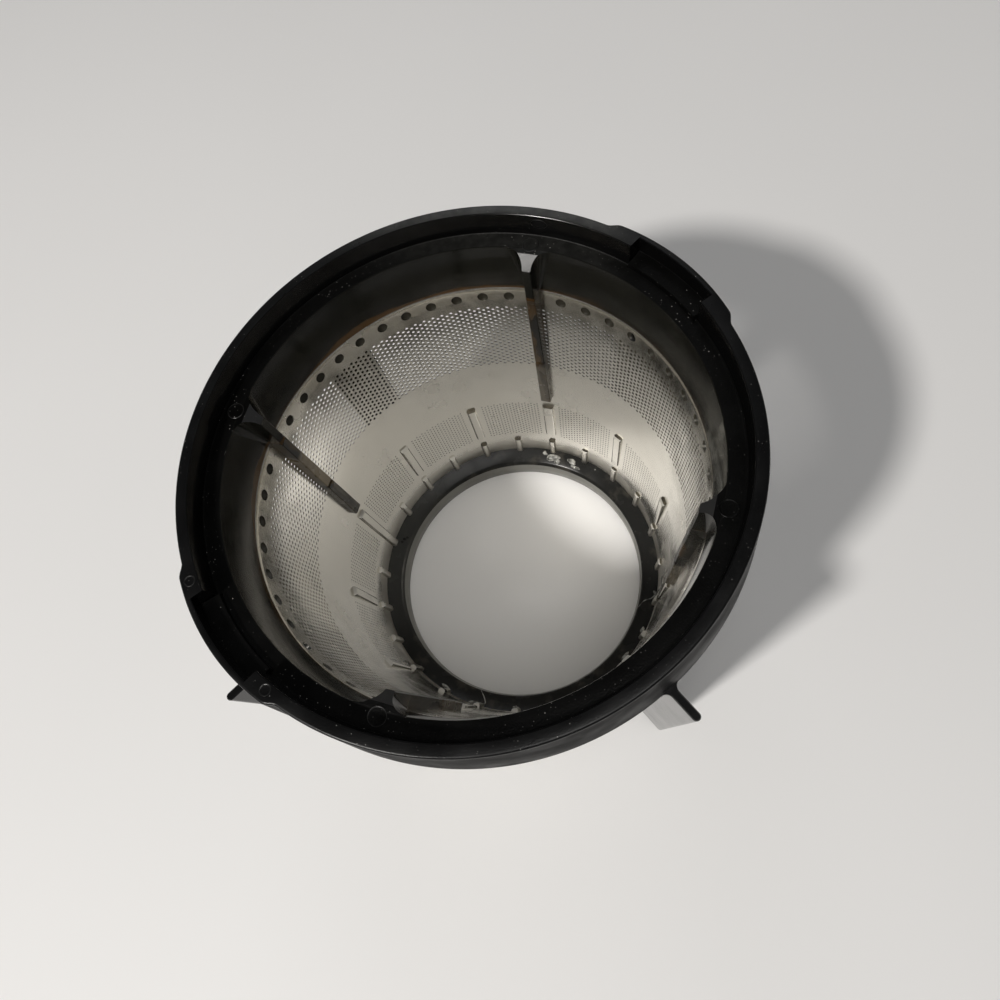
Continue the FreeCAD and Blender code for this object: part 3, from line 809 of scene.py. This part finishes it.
def droplet(shell, radius, degrees, height, size, seed, index):
    """Small wet lump with an uneven outline."""
    random = np.random.default_rng(seed)
    phases = random.uniform(0, 2 * math.pi, 3)
    around = np.linspace(0.0, 2 * math.pi, 25)[:-1]
    rings = []
    for level in np.linspace(0.0, 0.96, 7):
        ring = []
        for t in around:
            wave = 1 + 0.16 * math.sin(2 * t + phases[0]) + 0.10 * math.sin(3 * t + phases[1])
            wave += 0.06 * math.sin(5 * t + phases[2] + 3 * level)
            spread = math.sqrt(1 - level**2) * wave
            x = radius + size[0] * spread * math.cos(t)
            ring.append((x, size[1] * spread * math.sin(t), size[2] * level))
        rings.append(np.array(ring) + np.array([0.0, 0.0, height]))
    loft(shell, rings, degrees, index)


def strand(shell, places, thickness, index):
    """Thin strand of pulp through a few places (radius, degrees, height)."""
    points = polar(*np.transpose(places))
    shares = np.linspace(0, 1, len(points))
    fine = np.linspace(0, 1, 6 * len(points))
    path = np.stack([np.interp(fine, shares, points[:, axis]) for axis in range(3)], -1)
    for _ in range(4):
        path[1:-1] = (path[:-2] + 2 * path[1:-1] + path[2:]) / 4
    ahead = np.gradient(path, axis=0)
    ahead /= np.linalg.norm(ahead, axis=1, keepdims=True)
    side = np.cross(ahead, [0.0, 0.0, 1.0])
    side /= np.linalg.norm(side, axis=1, keepdims=True)
    over = np.cross(side, ahead)
    turn = np.linspace(0, 2 * math.pi, 7)[:-1]
    sections = []
    for place in range(len(path)):
        size = thickness * (0.35 + 0.65 * math.sin(math.pi * (place + 0.5) / len(path)))
        around = [math.cos(t) * side[place] + math.sin(t) * over[place] for t in turn]
        sections.append([path[place] + size * offset for offset in around])
    loft(shell, sections, 0.0, index)


# Materials


class Look:
    """One procedural material; its methods add nodes and hand back their output sockets."""

    def __init__(self, name):
        self.material = bpy.data.materials.new(name)
        self.material.use_nodes = True
        self.tree = self.material.node_tree
        self.tree.nodes.clear()
        self.surface = self.node("ShaderNodeBsdfPrincipled")
        output = self.node("ShaderNodeOutputMaterial")
        self.tree.links.new(self.surface.outputs["BSDF"], output.inputs["Surface"])
        self.place = self.node("ShaderNodeTexCoord").outputs["Object"]
        split = self.node("ShaderNodeSeparateXYZ")
        self.give(split.inputs[0], self.place)
        self.x, self.y, self.z = split.outputs

    def node(self, kind, **settings):
        made = self.tree.nodes.new(kind)
        for name, value in settings.items():
            setattr(made, name, value)
        return made

    def give(self, socket, value):
        if isinstance(value, bpy.types.NodeSocket):
            self.tree.links.new(value, socket)
        else:
            socket.default_value = value

    def math(self, operation, first, second=0.0):
        made = self.node("ShaderNodeMath", operation=operation)
        self.give(made.inputs[0], first)
        self.give(made.inputs[1], second)
        return made.outputs[0]

    def span(self, value, low, high, bottom=0.0, top=1.0):
        """Eases a value from bottom to top as it goes from low to high."""
        made = self.node("ShaderNodeMapRange", interpolation_type="SMOOTHSTEP")
        self.give(made.inputs["Value"], value)
        self.give(made.inputs["From Min"], low)
        self.give(made.inputs["From Max"], high)
        self.give(made.inputs["To Min"], bottom)
        self.give(made.inputs["To Max"], top)
        return made.outputs["Result"]

    def mix(self, share, first, second):
        made = self.node("ShaderNodeMix", data_type="RGBA")
        self.give(made.inputs[0], share)
        self.give(made.inputs[6], first)
        self.give(made.inputs[7], second)
        return made.outputs[2]

    def stretched(self, scale):
        made = self.node("ShaderNodeMapping")
        self.give(made.inputs["Vector"], self.place)
        made.inputs["Scale"].default_value = scale
        return made.outputs["Vector"]

    def noise(self, scale, detail=3.0, vector=None, roughness=0.5):
        made = self.node("ShaderNodeTexNoise")
        self.give(made.inputs["Vector"], vector or self.place)
        made.inputs["Scale"].default_value = scale
        made.inputs["Detail"].default_value = detail
        made.inputs["Roughness"].default_value = roughness
        return made.outputs[0]

    def specks(self, scale, size):
        """Sparse round dots, each with its own brightness."""
        made = self.node("ShaderNodeTexVoronoi")
        self.give(made.inputs["Vector"], self.place)
        made.inputs["Scale"].default_value = scale
        shade = self.node("ShaderNodeSeparateColor")
        self.give(shade.inputs[0], made.outputs["Color"])
        dots = self.span(made.outputs["Distance"], size * 0.6, size, 1.0, 0.0)
        return self.math("MULTIPLY", dots, self.span(shade.outputs[0], 0.3, 1.0))

    def bump(self, height, strength, distance, under=None):
        made = self.node("ShaderNodeBump")
        made.inputs["Strength"].default_value = strength
        made.inputs["Distance"].default_value = distance
        self.give(made.inputs["Height"], height)
        if under is not None:
            self.give(made.inputs["Normal"], under)
        return made.outputs["Normal"]

    def finish(self, colour, roughness, normal=None, metallic=0.0, specular=0.5):
        self.give(self.surface.inputs["Base Color"], colour)
        self.give(self.surface.inputs["Roughness"], roughness)
        self.give(self.surface.inputs["Metallic"], metallic)
        self.give(self.surface.inputs["Specular IOR Level"], specular)
        if normal is not None:
            self.give(self.surface.inputs["Normal"], normal)
        return self.material


def steel_look():
    look = Look("screen_steel")
    broad = look.noise(28.0, 2.0)
    cloud = look.noise(160.0, 4.0)
    colour = look.mix(look.span(broad, 0.35, 0.65), (0.78, 0.755, 0.69, 1), (0.84, 0.815, 0.755, 1))
    low = look.span(look.z, 0.0075, 0.0135, 1.0, 0.0)
    colour = look.mix(look.math("MULTIPLY", low, 0.25), colour, (0.30, 0.27, 0.22, 1))
    grain = look.noise(900.0, 2.0, look.stretched((1.0, 1.0, 0.08)))
    smear = look.span(look.noise(55.0, 5.0, roughness=0.6), 0.45, 0.62, 0.0, 0.10)
    rough = look.math("ADD", look.span(cloud, 0.3, 0.7, 0.13, 0.20), look.math("MULTIPLY", low, 0.22))
    rough = look.math("ADD", rough, smear)
    waves = look.bump(look.noise(70.0, 2.0), 0.06, 0.0012)
    normal = look.bump(grain, 0.08, 0.0002, waves)
    return look.finish(colour, rough, normal, metallic=1.0)


def hole_shade_look():
    """Walls of the fine holes, painted dark as the shade inside them."""
    look = Look("screen_holes_painted_shade")
    share = look.span(look.noise(300.0, 2.0), 0.35, 0.65)
    colour = look.mix(share, (0.07, 0.062, 0.05, 1), (0.16, 0.14, 0.11, 1))
    return look.finish(colour, 0.55, metallic=0.4)


def bead_shade_look():
    """Painted shadow in the corners beside the beads, and painted shade on some of their steps."""
    look = Look("screen_bead_shade")
    share = look.span(look.noise(500.0, 3.0), 0.35, 0.65)
    colour = look.mix(share, (0.035, 0.03, 0.022, 1), (0.08, 0.07, 0.05, 1))
    return look.finish(colour, 0.6, specular=0.2)


def step_shade_look():
    """Steps at the tops of the beads: rougher steel, painted darker as shade."""
    return Look("screen_step_shade").finish((0.64, 0.62, 0.57, 1), 0.5, metallic=1.0)


def plastic_look(name, colour, roughness, grain, strength, dust=0.0, specular=0.5, film_and_sheen=0.0):
    """Black plastic with a spark-eroded grain, faint smears, dust and a painted sheen on its far side."""
    look = Look(name)
    smear = look.span(look.noise(90.0, 4.0), 0.4, 0.7)
    rough = look.span(look.noise(140.0, 3.0), 0.3, 0.7, roughness * 0.85, roughness * 1.2)
    tint = look.mix(look.math("MULTIPLY", smear, 0.35), (*colour, 1), tuple(c * 1.6 for c in colour) + (1,))
    # Painted sheen: paler on the far side, where the highlight falls
    if film_and_sheen:
        far = look.math("MULTIPLY", look.span(look.y, 0.034, 0.052), look.span(look.x, 0.024, 0.012))
        far = look.math("MULTIPLY", far, look.span(look.noise(600.0, 4.0), 0.3, 0.7, 0.5, 1.0))
        tint = look.mix(look.math("MULTIPLY", far, film_and_sheen), tint, (0.30, 0.30, 0.28, 1))
    if dust:
        where = look.span(look.noise(75.0, 4.0, roughness=0.6), 0.44, 0.64, 0.08, 1.0)
        dots = look.math("MULTIPLY", look.specks(1400.0, 0.16), where)
        lint = look.math("MULTIPLY", look.specks(600.0, 0.08), where)
        dots = look.math("MAXIMUM", dots, lint)
        tint = look.mix(look.math("MULTIPLY", dots, dust), tint, (0.45, 0.44, 0.42, 1))
    normal = look.bump(look.noise(grain, 2.0), strength, 0.0001)
    return look.finish(tint, rough, normal, specular=specular)


def wall_look():
    """Glossy wall with the amber discolouring above the sheet, and pale blotches painted on its right as
    reflection.
    """
    look = Look("frame_wall")
    smear = look.span(look.noise(70.0, 4.0, look.stretched((1.0, 1.0, 0.35))), 0.35, 0.7)
    colour = look.mix(smear, (0.0035, 0.0036, 0.0028, 1), (0.0065, 0.0065, 0.005, 1))
    wander = look.span(look.noise(45.0, 3.0), 0.3, 0.7, 0.0004, 0.0022)
    edge = look.math("ADD", wander, 0.0711)
    amber = look.span(look.z, edge, look.math("SUBTRACT", edge, 0.0012))
    amber = look.math("MULTIPLY", amber, look.span(look.x, 0.014, -0.004, 0.25, 0.85))
    colour = look.mix(amber, colour, (0.075, 0.038, 0.012, 1))
    # Painted reflection: pale blotches on the right of the wall, under the ledge
    right = look.math("MULTIPLY", look.span(look.x, 0.0405, 0.044), look.span(look.y, 0.001, 0.003))
    right = look.math("MULTIPLY", right, look.span(look.z, 0.0821, 0.0815))
    cloud = look.noise(260.0, 5.0, look.stretched((1.0, 1.0, 0.6)), 0.6)
    film_and_sheen = look.span(cloud, 0.42, 0.66, 0.08, 0.5)
    colour = look.mix(look.math("MULTIPLY", right, film_and_sheen), colour, (0.2, 0.195, 0.17, 1))
    rough = look.span(look.noise(120.0, 3.0), 0.3, 0.7, 0.10, 0.2)
    normal = look.bump(look.noise(350.0, 2.0), 0.05, 0.0001)
    return look.finish(colour, rough, normal)


def rib_look():
    """Rib plastic with tortoise-shell streaks, and paler patches on the edge of the left rib."""
    look = Look("frame_rib")
    streak = look.noise(240.0, 4.0, look.stretched((1.0, 1.0, 0.3)))
    low = look.span(look.z, 0.074, 0.066)
    share = look.math("MULTIPLY", look.span(streak, 0.47, 0.62), low)
    colour = look.mix(look.math("MULTIPLY", share, 0.6), (0.010, 0.0095, 0.008, 1), (0.085, 0.05, 0.02, 1))
    foot = look.span(look.z, 0.0475, 0.0465)
    fibres = look.span(look.noise(700.0, 3.0, look.stretched((1.0, 1.0, 0.06))), 0.35, 0.7, 0.25, 0.75)
    colour = look.mix(look.math("MULTIPLY", foot, fibres), colour, (0.13, 0.115, 0.09, 1))
    left = look.span(look.x, -0.036, -0.038)
    edge = look.span(look.math("ABSOLUTE", look.y), 0.00125, 0.00105)
    height = look.math("MULTIPLY", look.span(look.z, 0.0487, 0.0492), look.span(look.z, 0.0645, 0.0625))
    blocks = look.span(look.noise(330.0, 0.0, look.stretched((0.02, 0.02, 1.0))), 0.30, 0.42, 0.35, 0.85)
    patch = look.math("MULTIPLY", look.math("MULTIPLY", left, edge), look.math("MULTIPLY", height, blocks))
    colour = look.mix(patch, colour, (0.30, 0.24, 0.15, 1))
    rough = look.span(look.noise(150.0, 3.0), 0.3, 0.7, 0.2, 0.32)
    normal = look.bump(look.noise(500.0, 2.0), 0.06, 0.0001)
    return look.finish(colour, rough, normal, specular=0.4)


def residue_look():
    """Wet pulp, pale and glossy."""
    look = Look("frame_residue")
    share = look.span(look.noise(900.0, 3.0), 0.35, 0.65)
    colour = look.mix(share, (0.08, 0.08, 0.073, 1), (0.42, 0.42, 0.395, 1))
    normal = look.bump(look.noise(1300.0, 2.0), 0.3, 0.0001)
    return look.finish(colour, 0.12, normal, specular=0.6)


def foot_look():
    """Foot ring, wet in places, with dried residue and a painted sheen on its left side."""
    look = Look("frame_foot")
    film_and_sheen = look.span(look.noise(260.0, 5.0), 0.52, 0.72)
    colour = look.mix(look.math("MULTIPLY", film_and_sheen, 0.3), (0.017, 0.017, 0.016, 1), (0.10, 0.09, 0.073, 1))
    # Painted sheen: paler on the left side of the ring
    left = look.span(look.x, -0.022, -0.034)
    colour = look.mix(look.math("MULTIPLY", left, 0.8), colour, (0.05, 0.05, 0.047, 1))
    rough = look.span(look.noise(180.0, 4.0), 0.35, 0.65, 0.16, 0.28)
    normal = look.bump(look.noise(420.0, 3.0), 0.08, 0.0001)
    return look.finish(colour, rough, normal, specular=0.12)


def floor_look():
    look = Look("floor")
    share = look.span(look.noise(3.0, 3.0), 0.3, 0.7)
    colour = look.mix(share, (0.82, 0.815, 0.81, 1), (0.85, 0.845, 0.84, 1))
    return look.finish(colour, 0.55, specular=0.3)


# Object

steels = [steel_look(), hole_shade_look(), bead_shade_look(), step_shade_look()]
for quarter in range(QUARTERS):
    screen_quarter(quarter, steels)

looks = {
    # Skirt, rim top and ledge take an eighth number, the strength of their painted sheen
    "skirt": plastic_look("frame_skirt", (0.0025, 0.0025, 0.0026), 0.46, 900.0, 0.04, 0.2, 0.04),
    "fin": plastic_look("frame_fin", (0.004, 0.004, 0.0042), 0.16, 900.0, 0.03, 0.0, 0.5),
    "rim_top": plastic_look("frame_rim_top", (0.0016, 0.0016, 0.0017), 0.32, 3200.0, 0.2, 0.6, 0.3, 0.11),
    "rim_inside": plastic_look("frame_rim_inside", (0.0018, 0.0018, 0.0018), 0.16, 900.0, 0.04, 0.1, 0.35),
    "ledge": plastic_look("frame_ledge", (0.0013, 0.0013, 0.0012), 0.36, 3000.0, 0.5, 0.8, 0.10, 0.05),
    # Painted highlight: paler plastic on the raised crests of the pin marks
    "mark": plastic_look("frame_mark_highlight", (0.008, 0.008, 0.0076), 0.35, 900.0, 0.05, 0.0, 0.3),
    "wall": wall_look(),
    "under": plastic_look("frame_under", (0.003, 0.0026, 0.002), 0.45, 1500.0, 0.1, 0.0, 0.15),
    "behind": plastic_look("frame_behind", (0.022, 0.0195, 0.0135), 0.45, 1500.0, 0.1, 0.0, 0.2),
    "rib": rib_look(),
    # Painted highlight: a paler, more specular copy of the ledge plastic for the lit slopes at the rib tops
    "slope": plastic_look("frame_slope_highlight", (0.009, 0.009, 0.0088), 0.36, 2600.0, 0.3, 0.5, 0.9),
    "residue": residue_look(),
    "foot": foot_look(),
    # Painted reflection: the face of the foot hole made pale grey-brown for the bright floor it mirrors
    "foot_hole_reflection": plastic_look("frame_foot_hole", (0.17, 0.168, 0.152), 0.38, 900.0, 0.08, 0.1),
}
names = list(looks)
materials = list(looks.values())

ring_shell = Shell()
top_ring(ring_shell, names)
ring_shell.piece("frame_top_ring", materials, "moulded_frame", outward=True)

foot_shell = Shell()
foot_ring(foot_shell, names)
for lump in WET_LUMPS:
    droplet(foot_shell, *lump, names.index("residue"))
for thickness, places in STRANDS:
    strand(foot_shell, places, thickness, names.index("residue"))
for lump in SMUDGE_LUMPS:
    droplet(foot_shell, *lump, names.index("under"))
foot_shell.piece("frame_foot_ring", materials, "moulded_frame", outward=True)

rib_shell = Shell()
for angle in RIB_ANGLES:
    rib_body(rib_shell, angle, names.index("rib"))
    rib_flare(rib_shell, angle, names.index("wall"), names.index("ledge"), names.index("slope"))
    # The crest takes the paler painted-highlight look, except at the first rib
    crest = names.index("mark" if angle else "ledge")
    ejector_mark(rib_shell, LEDGE_PIN_CIRCLE, angle, LEDGE, LEDGE_PIN_RADIUS, names.index("ledge"), crest)
wall_mark(rib_shell, 51.85, 88.4, 85.4, names.index("rim_inside"), names.index("mark"))
rib_shell.piece("frame_ribs", materials, "moulded_frame", outward=True)

fin_shell = Shell()
for angle in FIN_ANGLES:
    fin(fin_shell, angle, names.index("fin"))
for angle in BAR_ANGLES:
    bar(fin_shell, angle, names.index("behind"))
for radius, angle in RIM_PINS:
    middle, crest = names.index("rim_top"), names.index("mark")
    ejector_mark(fin_shell, radius, angle, RIM_TOP, RIM_PIN_RADIUS, middle, crest)
fin_shell.piece("frame_fins", materials, "moulded_frame", outward=True)

# Studio

scene = bpy.context.scene
scene.view_settings.view_transform = "Standard"

floor_mesh = bpy.data.meshes.new("floor")
floor_mesh.from_pydata([(-3, -3, 0), (3, -3, 0), (3, 3, 0), (-3, 3, 0)], [], [(0, 1, 2, 3)])
floor_mesh.materials.append(floor_look())
floor = bpy.data.objects.new("floor", floor_mesh)
scene.collection.objects.link(floor)

world = bpy.data.worlds.new("studio")
world.use_nodes = True
scene.world = world
sky = world.node_tree
background = sky.nodes["Background"]
direction = sky.nodes.new("ShaderNodeTexCoord").outputs["Generated"]
heading = sky.nodes.new("ShaderNodeSeparateXYZ")
sky.links.new(direction, heading.inputs[0])
dome = sky.nodes.new("ShaderNodeMapRange")
dome.interpolation_type = "SMOOTHSTEP"
dome.inputs["From Min"].default_value = 0.45
dome.inputs["From Max"].default_value = 0.95
dome.inputs["To Min"].default_value = 0.155
dome.inputs["To Max"].default_value = 0.05
sky.links.new(heading.outputs["Z"], dome.inputs["Value"])
sky.links.new(dome.outputs["Result"], background.inputs["Strength"])
background.inputs["Color"].default_value = (0.97, 0.98, 1.0, 1)


LIGHTS_AIM = (0, 0, 0.04)


def area_light(name, place, size, power, colour):
    """Round light that shines at the middle of the part."""
    light = bpy.data.lights.new(name, "AREA")
    light.shape = "DISK"
    light.size = size
    light.energy = power
    light.color = colour
    made = bpy.data.objects.new(name, light)
    made.location = place
    made.rotation_mode = "QUATERNION"
    made.rotation_quaternion = (Vector(LIGHTS_AIM) - Vector(place)).to_track_quat("-Z", "Y")
    scene.collection.objects.link(made)


area_light("key", (-0.343, -0.673, 0.933), 0.11, 9.6, (1.0, 0.97, 0.93))
area_light("above", (0.2, -0.24, 1.16), 0.5, 2.8, (1.0, 0.985, 0.96))
area_light("back", (-0.318, 0.787, 0.849), 0.45, 0.8, (0.97, 0.985, 1.0))

# Camera fitted to the photograph

lens = bpy.data.cameras.new("camera")
lens.sensor_width = 36.0
lens.lens = 28.224
lens.clip_start = 0.01
camera = bpy.data.objects.new("camera", lens)
right = Vector((0.9476, 0.274071, -0.164134))
up = Vector((-0.198634, 0.907877, 0.369193))
back = Vector((0.250199, -0.317245, 0.914744))
turn = Matrix((right, up, back)).transposed().to_4x4()
camera.matrix_world = Matrix.Translation((0.0451133, -0.0521131, 0.2121381)) @ turn
scene.collection.objects.link(camera)
scene.camera = camera
